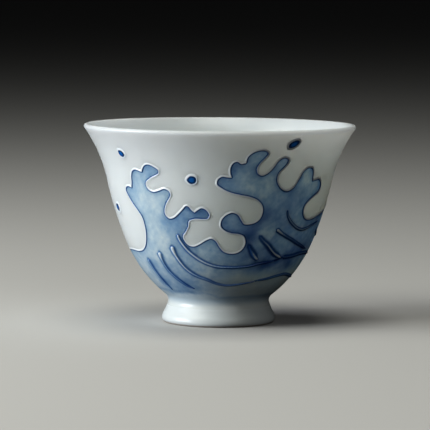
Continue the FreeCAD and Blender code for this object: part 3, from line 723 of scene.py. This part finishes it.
def bell(value, centre, width):
    """1 at the centre, falling away on both sides over the width."""
    away = maths("DIVIDE", maths("SUBTRACT", value, centre), width)
    return maths("EXPONENT", times(times(away, away), -1.0))


def noise(place, grain, detail=2.0, stretch=None):
    """Noise about 0 with a grain in millimetres."""
    if stretch:
        place = node("ShaderNodeVectorMath", {0: place, 1: stretch}, operation="MULTIPLY").outputs[0]
    made = node("ShaderNodeTexNoise", {"Vector": place, "Scale": 1.0 / grain, "Detail": detail})
    return times_plus(made.outputs["Fac"], 4.0, -2.0)


def field(tree, name):
    """A mesh's named point field."""
    return node("ShaderNodeAttribute", {}, tree, attribute_name=name).outputs["Fac"]


def axes(place):
    """The X, Y and Z outputs of a place."""
    return node("ShaderNodeSeparateXYZ", {0: place}).outputs


def new_material(name):
    """An empty material with its tree, its shader and the place in millimetres."""
    material = bpy.data.materials.new(name)
    material.use_nodes = True
    tree = material.node_tree
    shader = tree.nodes["Principled BSDF"]
    coordinates = node("ShaderNodeTexCoord", {}, tree).outputs["Object"]
    place = node("ShaderNodeVectorMath", {0: coordinates, "Scale": 1.0 / MM}, operation="SCALE").outputs[0]
    return material, tree, shader, place


# ---- glaze
# White of the wall, of the slip and of the foot, and how strongly cobalt takes up red, green and blue. The
# slip's white is lighter than the wall's as painted light: it stands in for the glow through the thin wall
# that the opaque slip strips don't get, and brightens the ridges' highlights.
WHITE = (0.778, 0.835, 0.81)
SLIP_WHITE_WITH_PAINTED_GLOW = (0.84, 0.9, 0.91)
FOOT_WHITE = (0.665, 0.72, 0.715)
COBALT = (1.0, 0.64, 0.305)
INSIDE_TINT = (0.955, 0.98, 1.03, 1.0)
JOINT_GREY = 0.866

# Relief and roughness of the fired surface.
SWELL = 0.0012
PEEL = 0.0005
ROUGHNESS_WANDER = 0.01
GLAZE_IOR = 1.5

# Depth of the wash on the left, what the right adds, and what the low middle and right lose.
WASH = 0.52
WASH_RIGHT = 0.27
WASH_LOW = -0.55
CLOUD_STRENGTH = 0.7

# Cloudiness of the wash: grain, detail, stretch and strength of each layer.
CLOUD_LAYERS = [(9.0, 2.0, None, 0.30), (3.0, 3.0, (1.0, 1.0, 0.6), 0.34), (1.2, 3.0, None, 0.22)]

# Brush marks slant across the front of the cup.
BRUSH_AXIS = (0.5, -0.866, 0.0)
BRUSH_SLANT = 55.0
BRUSH_GRAIN = 1.5
BRUSH_STRETCH = (1.0, 1.0, 0.28)
BRUSH_STRENGTH = 0.26

# The wash ends between these heights, lower on the right, with a faint line and a thin skirt below.
WASH_END = (7.7, 10.3)
END_DROP = 1.3
END_WANDER = 0.35
END_LINE = 0.4
SKIRT = 0.36

# Depth of the line and the halo along the outline, and of the pools beside the streaks.
LINE = 3.2
HALO = 0.3
POOL = 1.8
POOL_RIGHT = 0.8
# Share of the depth left on a streak's crown: the glaze runs thin there, and the crown is kept pale partly as
# a painted highlight.
ON_CROWN = 0.14

# The porcelain lets light through fully above the second height, and not at all below the first.
THIN_WALL = (7.0, 24.0)
LIGHT_REACH = 6.0
LIGHT_RADIUS = (1.0, 0.95, 0.9)


def glaze_over(white, depth):
    """The white ground seen through a depth of cobalt glaze."""
    seen = [times(maths("EXPONENT", times(depth, -absorb)), ground) for ground, absorb in zip(white, COBALT)]
    return node("ShaderNodeCombineColor", dict(enumerate(seen))).outputs[0]


def wandering(place, roughness):
    """A roughness that varies a little over the surface."""
    return times_plus(noise(place, 5.0), ROUGHNESS_WANDER, roughness)


def glaze_surface(shader, place, roughness, ior=GLAZE_IOR):
    """The gloss of a fired glaze over faint swells and finer orange peel."""
    swell = times(noise(place, 3.4, 1.0), SWELL)
    peel = times(noise(place, 0.7, 1.0), PEEL)
    bump = node("ShaderNodeBump", {"Height": plus(swell, peel), "Strength": 1.0, "Distance": MM})
    feed(shader, {"Normal": bump.outputs["Normal"], "Roughness": roughness, "IOR": ior})


def brushed_wash(tree, place):
    """Depth of the wash with its clouds and its brush marks."""
    across = axes(place)["X"]
    height = axes(place)["Z"]
    ground = times_plus(smoothstep(across, -17.0, -6.0), WASH_RIGHT, WASH)
    low = times(smoothstep(across, -7.0, 6.0), smoothstep(height, 18.0, 14.5))
    ground = times_plus(low, WASH_LOW, ground)
    clouds = 1.0
    for grain, detail, stretch, strength in CLOUD_LAYERS:
        clouds = times_plus(noise(place, grain, detail, stretch), strength, clouds)
    turn = {"Vector": place, "Axis": BRUSH_AXIS, "Angle": math.radians(BRUSH_SLANT)}
    slanted = node("ShaderNodeVectorRotate", turn, rotation_type="AXIS_ANGLE").outputs["Vector"]
    brush = noise(slanted, BRUSH_GRAIN, 2.0, BRUSH_STRETCH)
    clouds = times_plus(brush, BRUSH_STRENGTH, clouds)
    placed = times(field(tree, "cloud"), CLOUD_STRENGTH)
    return times_plus(ground, clouds, placed)


def ended_above_foot(place, wash):
    """The wash fading out above the foot."""
    across = axes(place)["X"]
    height = axes(place)["Z"]
    lower = times_plus(smoothstep(across, -5.0, 1.0), END_DROP, height)
    wander = times_plus(noise(place, 6.0), END_WANDER, lower)
    wash = times(wash, smoothstep(wander, *WASH_END))
    wash = times_plus(bell(wander, 10.1, 0.45), END_LINE, wash)
    return times_plus(bell(height, 7.7, 1.3), SKIRT, wash)


def cobalt_depth(tree, place):
    """Depth of cobalt: the wash inside the waves, pooled along the outline and beside the streaks."""
    edge = field(tree, "edge_mm")
    streak = field(tree, "streak_mm")
    depth = ended_above_foot(place, brushed_wash(tree, place))
    line = times(bell(edge, 0.17, 0.17), LINE)
    halo = times(bell(edge, 0.3, 1.2), HALO)
    depth = plus(depth, plus(line, halo))
    # The pale crown is partly thin glaze and partly a painted highlight.
    off_crown = times_plus(smoothstep(streak, -0.28, -0.06), 1.0 - ON_CROWN, ON_CROWN)
    depth = times(depth, off_crown)
    right = smoothstep(axes(place)["X"], -17.0, -3.0)
    pool = times_plus(right, POOL_RIGHT, POOL)
    depth = plus(depth, times(bell(streak, 0.02, 0.2), pool))
    return times(depth, smoothstep(edge, -0.06, 0.14))


def let_light_through(shader, place):
    """Thin porcelain that glows where light falls on its other side, except down at the foot ring."""
    weight = smoothstep(axes(place)["Z"], *THIN_WALL)
    feed(shader, {"Subsurface Weight": weight, "Subsurface Radius": LIGHT_RADIUS,
                  "Subsurface Scale": LIGHT_REACH * MM})


def waves_material(name, white, roughness):
    """White glaze with the cobalt waves, cooler inside the bowl and greyer down at the joint."""
    material, tree, shader, place = new_material(name)
    colour = glaze_over(white, cobalt_depth(tree, place))
    tint = {"data_type": "RGBA", "blend_type": "MULTIPLY"}
    colour = mix(field(tree, "inner"), colour, INSIDE_TINT, **tint)
    cloud = times_plus(noise(place, 14.0), 0.02, 0.99)
    clean = smoothstep(axes(place)["Z"], 5.4, 9.0)
    clean = times_plus(clean, 1.0 - JOINT_GREY, JOINT_GREY)
    cloud = times(cloud, clean)
    grey = node("ShaderNodeCombineColor", {0: cloud, 1: cloud, 2: cloud}).outputs[0]
    feed(shader, {"Base Color": mix(1.0, colour, grey, **tint)})
    glaze_surface(shader, place, wandering(place, roughness))
    return material, shader, place


def bowl_material():
    """The waves' glaze on the translucent wall."""
    material, shader, place = waves_material("white_glaze", WHITE, 0.26)
    let_light_through(shader, place)
    return material


def slip_material(name, roughness):
    """The waves' glaze on the trailed slip, whose lighter white is painted glow."""
    return waves_material(name, SLIP_WHITE_WITH_PAINTED_GLOW, roughness)[0]


def drop_material():
    """Deep cobalt glaze, darker round the edge of each drop where it pools, with a lighter middle that is
    partly painted glow and highlight.
    """
    material, tree, shader, place = new_material("cobalt_glaze")
    edge = times_plus(noise(place, 0.7), 0.06, field(tree, "rim"))
    # The lighter middle is partly painted glow and highlight; the dark rim is pooled cobalt.
    middle = (0.008, 0.11, 0.40, 1.0)
    rim = (0.003, 0.018, 0.075, 1.0)
    colour = mix(smoothstep(edge, 0.3, 0.8), middle, rim, data_type="RGBA")
    # Painted light: each drop's blue is scaled by its brightness factor, which lightens the drop on the shaded
    # right.
    with_painted_light = {0: colour, "Scale": field(tree, "painted_light_scale")}
    feed(shader, {"Base Color": node("ShaderNodeVectorMath", with_painted_light, operation="SCALE").outputs[0]})
    glaze_surface(shader, place, wandering(place, 0.16), 1.42)
    return material


def foot_material():
    """White glaze down to a bare biscuit ring where the cup stands."""
    material, tree, shader, place = new_material("foot_glaze")
    edge = times_plus(noise(place, 1.5), 0.12, field(tree, "bare"))
    bare = smoothstep(edge, 0.4, 0.6)
    glazed = glaze_over(FOOT_WHITE, times(noise(place, 9.0), 0.02))
    biscuit = (0.62, 0.56, 0.48, 1.0)
    feed(shader, {"Base Color": mix(bare, glazed, biscuit, data_type="RGBA")})
    glaze_surface(shader, place, mix(bare, 0.3, 0.8, data_type="FLOAT"))
    return material


def floor_material():
    """Plain pale tabletop."""
    material = bpy.data.materials.new("floor")
    material.use_nodes = True
    plain = {"Base Color": (0.58, 0.575, 0.56, 1.0), "Roughness": 0.6, "Specular IOR Level": 0.0}
    feed(material.node_tree.nodes["Principled BSDF"], plain)
    return material


# ---- bowl
COLUMNS = 480
WAVE_SPACING = 0.42
HIP_SPACING = 0.3
LIP_SPACING = 0.12
INSIDE_SPACING = 1.3

# The inside of the bowl is trued towards the middle of its floor and has a faint swirl below the lip.
TRUED_WITHIN = 14.0
SWIRL = 0.05
SWIRL_WITHIN = 36.0

# The underside is slightly domed inside the foot ring.
UNDERSIDE_RADII = [13.2, 11.5, 10.0, 7.0, 4.0, 1.5]
DOME_RADIUS = 11.5
DOME_RISE = 0.35

# What edge_mm says away from the outside wall.
FAR_OUTSIDE = -20.0


def wall_rows():
    """Heights of the rows of the outside wall, from the seat to the lip."""
    heights = []
    for first, last, radius, side in OUTER_ARCS:
        spacing = WAVE_SPACING if last != HIP else HIP_SPACING
        heights += [height for unused_radius, height in arc_points(first, last, radius, side, spacing)]
    return heights


def signed_edge(points, height, crossed):
    """Distance from the outline of one row of the wall: above 0 inside the waves and below 0 outside them."""
    distance = outline_distance(points)
    inside = np.array([np.sum(heights > height) % 2 == 1 for heights in crossed])
    return np.where(inside, distance, -distance)


def inside_rows(turn):
    """Rows of the lip and of the inside of the bowl, down to its floor."""
    profile = []
    for arc in LIP_ARCS:
        profile += arc_points(*arc, LIP_SPACING)
    for arc in INNER_ARCS:
        profile += arc_points(*arc, INSIDE_SPACING)
    rows = []
    # The first point, LIP, is left out because the wall's last row lies close below it.
    for radius, height in profile[1:]:
        uneven = unevenness(turn, height)
        if radius < SWIRL_WITHIN:
            uneven = uneven + SWIRL * math.sin(height * 1.1) * np.sin(turn * 0.5 + 0.4) ** 2
        rows.append(circle(radius + min(radius / TRUED_WITHIN, 1.0) * uneven, height, turn))
    return rows


def underside_rows(turn):
    """Rows of the underside, from the foot ring to the middle."""
    rows = []
    for radius in UNDERSIDE_RADII:
        rise = DOME_RISE * max(1.0 - (radius / DOME_RADIUS) ** 2, 0.0)
        rows.append(circle(radius, SEAT[1] + rise, turn))
    return rows


def make_bowl(material):
    """The thrown bowl as one closed surface: outside wall, lip, inside and underside."""
    angles = np.arange(COLUMNS) * 360.0 / COLUMNS
    turn = np.radians(angles)
    heights = wall_rows()
    crossed = [crossings(angle) for angle in angles]
    wall = [wall_points(angles, np.full(COLUMNS, height)) for height in heights]
    upper = wall + inside_rows(turn)
    under = underside_rows(turn)
    middle = len(upper) * COLUMNS
    faces = grid_faces(len(upper), COLUMNS, False, True)
    faces += fan_faces(middle - COLUMNS, COLUMNS, middle, True)
    above = 0
    for number in range(len(under)):
        below = middle + 1 + number * COLUMNS
        faces += band_faces(below, above, COLUMNS, True)
        above = below
    faces += fan_faces(above, COLUMNS, above + COLUMNS, False)
    points = np.vstack(upper + [[(0.0, 0.0, INNER_FLOOR[1])]] + under + [[(0.0, 0.0, SEAT[1] + DOME_RISE)]])
    on_outside = len(wall) * COLUMNS
    spare = len(points) - on_outside
    edge = [signed_edge(row, height, crossed) for row, height in zip(wall, heights)]
    fields = {
        "edge_mm": np.concatenate(edge + [np.full(spare, FAR_OUTSIDE)]),
        "streak_mm": np.concatenate([streak_distance(row) for row in wall] + [np.full(spare, NO_STREAK)]),
        "cloud": np.concatenate([cloud_depth(row) for row in wall] + [np.zeros(spare)]),
        "inner": np.concatenate([np.zeros(on_outside), np.ones(spare)]),
    }
    new_piece("bowl", points, faces, fields, material)


# ---- foot ring
# The profile: down the inside, along the bare edge that stands on the table, and up the outside. Each arc has
# its first point, last point, radius, side and the spacing of its points.
FOOT_INSIDE = [(12.2, 5.0), (12.25, 4.0), (12.4, 2.6), (12.55, 1.4)]
FOOT_INNER_ARC = ((12.68, 0.6), (13.3, 0.0), 0.62, 1, 0.12)
FOOT_STAND = [(13.3, 0.0), (13.9, 0.0), (14.5, 0.0)]
FOOT_OUTER_ARCS = [
    ((15.3, 0.0), (16.3, 1.35), 1.25, 1, 0.15),
    ((16.3, 1.35), (15.98, 2.6), 3.0, 1, 0.2),
    ((15.98, 2.6), SEAT, 12.0, -1, 0.25),
]
FOOT_MIDDLE = 14.0
BARE_TOP = 0.35
BARE_FADE = 0.3


def make_foot_ring(material):
    """The luted foot ring, glazed except where it stands."""
    profile = FOOT_INSIDE + arc_points(*FOOT_INNER_ARC) + FOOT_STAND
    for arc in FOOT_OUTER_ARCS:
        profile += arc_points(*arc)
    profile.append(SEAT)
    turn = np.radians(np.arange(COLUMNS) * 360.0 / COLUMNS)
    rows = []
    bare = []
    for radius, height in profile:
        fillet = joint_fillet(height) if radius > FOOT_MIDDLE else 0.0
        rows.append(circle(radius + unevenness(turn, height) + fillet, height, turn))
        bare.append(np.full(COLUMNS, min(max(1.0 - (height - BARE_TOP) / BARE_FADE, 0.0), 1.0)))
    faces = grid_faces(len(rows), COLUMNS, True, True)
    new_piece("foot_ring", np.vstack(rows), faces, {"bare": np.concatenate(bare)}, material)


# ---- outline
# Height of the slip bead across the outline: distance outside the edge of the blue, and lift.
BEAD_PROFILE = [(-0.22, -0.03), (-0.14, 0.025), (-0.07, 0.065), (0.01, 0.105), (0.1, 0.122), (0.2, 0.108),
                (0.32, 0.065), (0.45, 0.022), (0.6, -0.03)]
BEAD_REACH, BEAD_LIFT = np.array(BEAD_PROFILE).T
BEAD_SPACING = 0.3
BEAD_SUNK = 0.25

# Where the outline bends back on the bead by more than this, the bead is cut short, but not below its least.
BEAD_SLACK = 0.06
BEAD_LEAST = 0.05

# Places where the trailed slip ran thicker: angle and height. Each swells by DAB_RISE over DAB_RADIUS.
DABS = [
    (-16.6, 35.9), (-25.0, 38.9), (-30.3, 45.4), (-4.2, 26.7), (-5.0, 33.3), (-17.2, 30.0), (-1.2, 42.2),
    (1.0, 30.6), (-40.3, 45.1), (-49.8, 40.4), (-54.6, 39.9), (9.9, 48.0),
]
DAB_RISE = 0.09
DAB_RADIUS = 0.8


def dab_lift(points, outside):
    """Extra lift near the thicker places, fading out at both sides of the stroke."""
    lift = 0.0
    for angle, height in DABS:
        lift = lift + DAB_RISE * np.exp(-(distance_from(points, angle, height) / DAB_RADIUS) ** 2)
    return lift * np.clip((outside + 0.15) / 0.15, 0.0, 1.0) * np.clip((0.5 - outside) / 0.2, 0.0, 1.0)


def bead_reaches(places, side):
    """How far outside the blue each row's points lie: less where the outline bends back on the bead."""
    found = np.array([outline_distance(on_wall(places + side * reach)) for reach in BEAD_REACH]).T
    reaches = []
    for distances in found:
        short = np.nonzero((BEAD_REACH > 0) & (distances < BEAD_REACH - BEAD_SLACK))[0]
        limit = math.inf
        if len(short):
            before = BEAD_REACH[short[0] - 1]
            limit = max(distances[short[0]], before if before > 0 else BEAD_LEAST)
        reaches.append(np.minimum(BEAD_REACH, limit))
    return np.array(reaches)


def raised_strip(grid, lift, sunk):
    """Rows of points lifted off the wall, and each closed by two points sunk into it below its ends."""
    top = wall_points(*angle_height(grid), lift)
    ends = grid[:, [-1, 0]]
    return np.concatenate([top, wall_points(*angle_height(ends), np.full(ends.shape[:2], -sunk))], axis=1)


def make_outline(name, material):
    """One stroke of the trailed outline, whose lift follows the true distance from the edge of the blue."""
    angle, height, length = smooth(OUTLINE_STROKES[name], BEAD_SPACING)
    places = wall_points(angle, height)
    side = sides(angle, height)
    reach = bead_reaches(places, side)
    grid = places[:, None, :] + side[:, None, :] * reach[:, :, None]
    wave = 1.0 + 0.07 * np.sin(length * 0.9) + 0.05 * np.sin(length * 0.37)
    lift = np.interp(reach, BEAD_REACH, BEAD_LIFT) * wave[:, None] + dab_lift(grid, reach)
    strip = raised_strip(grid, lift, BEAD_SUNK)
    points = strip.reshape(-1, 3)
    ground = on_wall(points)
    fields = {
        "edge_mm": -np.concatenate([reach, reach[:, [-1, 0]]], axis=1).reshape(-1),
        "streak_mm": streak_distance(ground),
        "cloud": cloud_depth(ground),
    }
    new_piece(name, points, strip_faces(*strip.shape[:2]), fields, material)


# ---- streaks
# The ridge across a streak, in half widths, then the thin glaze lapped beside it: how far and how high.
STREAK_ACROSS = np.array([-1.0, -0.9, -0.7, -0.45, -0.2, 0.0, 0.2, 0.45, 0.7, 0.9, 1.0])
STREAK_LAP = np.array([0.08, 0.18, 0.27, 0.34])
LAP_LIFT = np.array([0.03, 0.022, 0.012, -0.03])
STREAK_SPACING = 0.18
STREAK_RISE = 0.25
STREAK_BASE = 0.035
STREAK_SUNK = 0.2
LEAST_HALF = 0.02
TIP_LAP = 0.26


def lengthened(angle, height, length):
    """A streak's line carried on at both ends by the lap of glaze round its tips."""
    flat = np.stack([angle * DEGREE, height], axis=1)
    extra = []
    for end, inner in ((0, 2), (-1, -3)):
        way = flat[end] - flat[inner]
        extra.append(flat[end] + way / np.linalg.norm(way) * np.array([[TIP_LAP], [TIP_LAP / 2]]))
    flat = np.vstack([extra[0], flat, extra[1][::-1]])
    last = length[-1]
    length = np.concatenate([[-TIP_LAP, -TIP_LAP / 2], length, [last + TIP_LAP / 2, last + TIP_LAP]])
    return flat[:, 0] / DEGREE, flat[:, 1], length


def streak_strip(width, line):
    """Rows of one streak: its ridge between two laps of glaze, closed underneath."""
    angle, height, length = smooth(line, STREAK_SPACING)
    own_half = streak_width(width, length)
    angle, height, length = lengthened(angle, height, length)
    half = np.maximum(np.concatenate([[0.0, 0.0], own_half, [0.0, 0.0]]), LEAST_HALF)
    lap = 0.9 * rounded(np.minimum(length + TIP_LAP, length[-1] - length) / TIP_LAP) + 0.1
    lapped = half[:, None] + lap[:, None] * STREAK_LAP
    reach = np.concatenate([-lapped[:, ::-1], half[:, None] * STREAK_ACROSS, lapped], axis=1)
    grid = wall_points(angle, height)[:, None, :] + sides(angle, height)[:, None, :] * reach[:, :, None]
    profile = np.maximum(1.0 - STREAK_ACROSS ** 2, 0.0) ** 0.8
    rise = STREAK_RISE * np.sqrt(half / STREAK_HALF)
    lap_lift = np.tile(LAP_LIFT, (len(half), 1))
    lift = np.concatenate([lap_lift[:, ::-1], rise[:, None] * profile + STREAK_BASE, lap_lift], axis=1)
    lift[[0, -1]] = LAP_LIFT[-1]
    return raised_strip(grid, lift, STREAK_SUNK)


def make_streaks(name, material):
    """The trailed streaks of one wave, in one piece."""
    points = []
    faces = []
    start = 0
    for width, unused_pool, unused_pale, line in STREAKS[name]:
        strip = streak_strip(width, line)
        rows, columns = strip.shape[:2]
        points.append(strip.reshape(-1, 3))
        faces += [tuple(start + corner for corner in face) for face in strip_faces(rows, columns)]
        start += rows * columns
    points = np.vstack(points)
    ground = on_wall(points)
    fields = {
        "edge_mm": outline_distance(ground),
        "streak_mm": streak_distance(ground),
        "cloud": cloud_depth(ground),
    }
    new_piece(name, points, faces, fields, material)


# ---- spray drops
# A ring's section, closed underneath: distance outside the drop's edge, and lift.
DROP_RING = [(-0.3, -0.03), (-0.16, 0.07), (-0.04, 0.14), (0.07, 0.17), (0.18, 0.165), (0.3, 0.125),
             (0.44, 0.065), (0.6, 0.015), (0.78, -0.03), (0.78, -0.25), (-0.3, -0.25)]

# A bead's section, from near its top to near the middle of its underside: share of the drop's size, and lift.
DROP_DOME = [(0.25, 0.235), (0.5, 0.22), (0.7, 0.19), (0.85, 0.15), (0.95, 0.1), (1.0, -0.05), (1.0, -0.25),
             (0.3, -0.25)]
DROP_TOP = 0.24
DROP_BOTTOM = -0.25
DROP_STEPS = 48


def drop_row(drop, share, past, lift):
    """A closed row of points round one drop, at a share of its size and a distance past that."""
    angle, height, size, oval, tilt = drop[:5]
    centre = wall_points(np.array([angle]), np.array([height]))[0]
    normal = wall_normals(np.array([angle]), np.array([height]))[0]
    level = np.array((math.cos(math.radians(angle)), math.sin(math.radians(angle)), 0.0))
    upright = np.cross(normal, level)
    lean = math.radians(tilt)
    along = level * math.cos(lean) + upright * math.sin(lean)
    across = upright * math.cos(lean) - level * math.sin(lean)
    turn = np.arange(DROP_STEPS) * 2 * math.pi / DROP_STEPS
    wobble = 1.0 + 0.03 * np.sin(3 * turn + angle) + 0.02 * np.sin(5 * turn + height)
    half_width = size * math.sqrt(oval) * share + past
    half_height = size / math.sqrt(oval) * share + past
    spot = centre + along * (half_width * wobble * np.cos(turn))[:, None]
    spot = spot + across * (half_height * wobble * np.sin(turn))[:, None]
    return wall_points(*angle_height(spot), np.full(DROP_STEPS, lift))


def make_drop_rings(material):
    """The trailed rings that hold the drops of cobalt."""
    points = []
    faces = []
    for drop in DROPS:
        faces += grid_faces(len(DROP_RING), DROP_STEPS, True, True, len(points) * DROP_STEPS)
        points += [drop_row(drop, 1.0, past, lift) for past, lift in DROP_RING]
    edge = np.repeat([-past for past, unused_lift in DROP_RING] * len(DROPS), DROP_STEPS)
    fields = {"edge_mm": edge, "streak_mm": np.full(len(edge), NO_STREAK), "cloud": np.zeros(len(edge))}
    new_piece("spray_drop_rings", np.vstack(points), faces, fields, material)


def make_drop_beads(material):
    """The glassy beads of cobalt inside the rings, which let light past them onto the wall beneath."""
    points = []
    faces = []
    rim = []
    painted_light_scale = []
    start = 0
    for drop in DROPS:
        last = start + (len(DROP_DOME) - 1) * DROP_STEPS
        top = last + DROP_STEPS
        sides_of_bead = grid_faces(len(DROP_DOME), DROP_STEPS, False, True, start)
        faces += [tuple(reversed(face)) for face in sides_of_bead]
        faces += fan_faces(start, DROP_STEPS, top, True)
        faces += fan_faces(last, DROP_STEPS, top + 1, False)
        points += [drop_row(drop, share, 0.0, lift) for share, lift in DROP_DOME]
        points += [drop_row(drop, 0.0, 0.0, lift)[:1] for lift in (DROP_TOP, DROP_BOTTOM)]
        rim += [share for share, unused_lift in DROP_DOME for unused_step in range(DROP_STEPS)] + [0.0, 0.0]
        # Each drop's brightness factor, which paints light onto the drop on the shaded right.
        painted_light_scale += [drop[5]] * (top + 2 - start)
        start = top + 2
    beads = new_piece("spray_drop_beads", np.vstack(points), faces, {"rim": rim, "painted_light_scale": painted_light_scale}, material)
    beads.visible_shadow = False


# ---- floor
FLOOR_HALF = 40.0


def make_floor(material):
    """A wide plain tabletop that is kept out of reflections and throws no light back up."""
    mesh = bpy.data.meshes.new("floor")
    corners = [(x * FLOOR_HALF, y * FLOOR_HALF, 0.0) for x, y in ((-1, -1), (1, -1), (1, 1), (-1, 1))]
    mesh.from_pydata(corners, [], [(0, 1, 2, 3)])
    mesh.materials.append(material)
    floor = bpy.data.objects.new("floor", mesh)
    floor.visible_diffuse = False
    floor.visible_glossy = False
    bpy.context.scene.collection.objects.link(floor)


# ---- build
make_camera()
make_lights()
make_floor(floor_material())
make_bowl(bowl_material())
make_foot_ring(foot_material())
outline_material = slip_material("outline_slip", 0.26)
for stroke in OUTLINE_STROKES:
    make_outline(stroke, outline_material)
streak_material = slip_material("streak_slip", 0.24)
for wave in STREAKS:
    make_streaks(wave, streak_material)
make_drop_rings(outline_material)
make_drop_beads(drop_material())
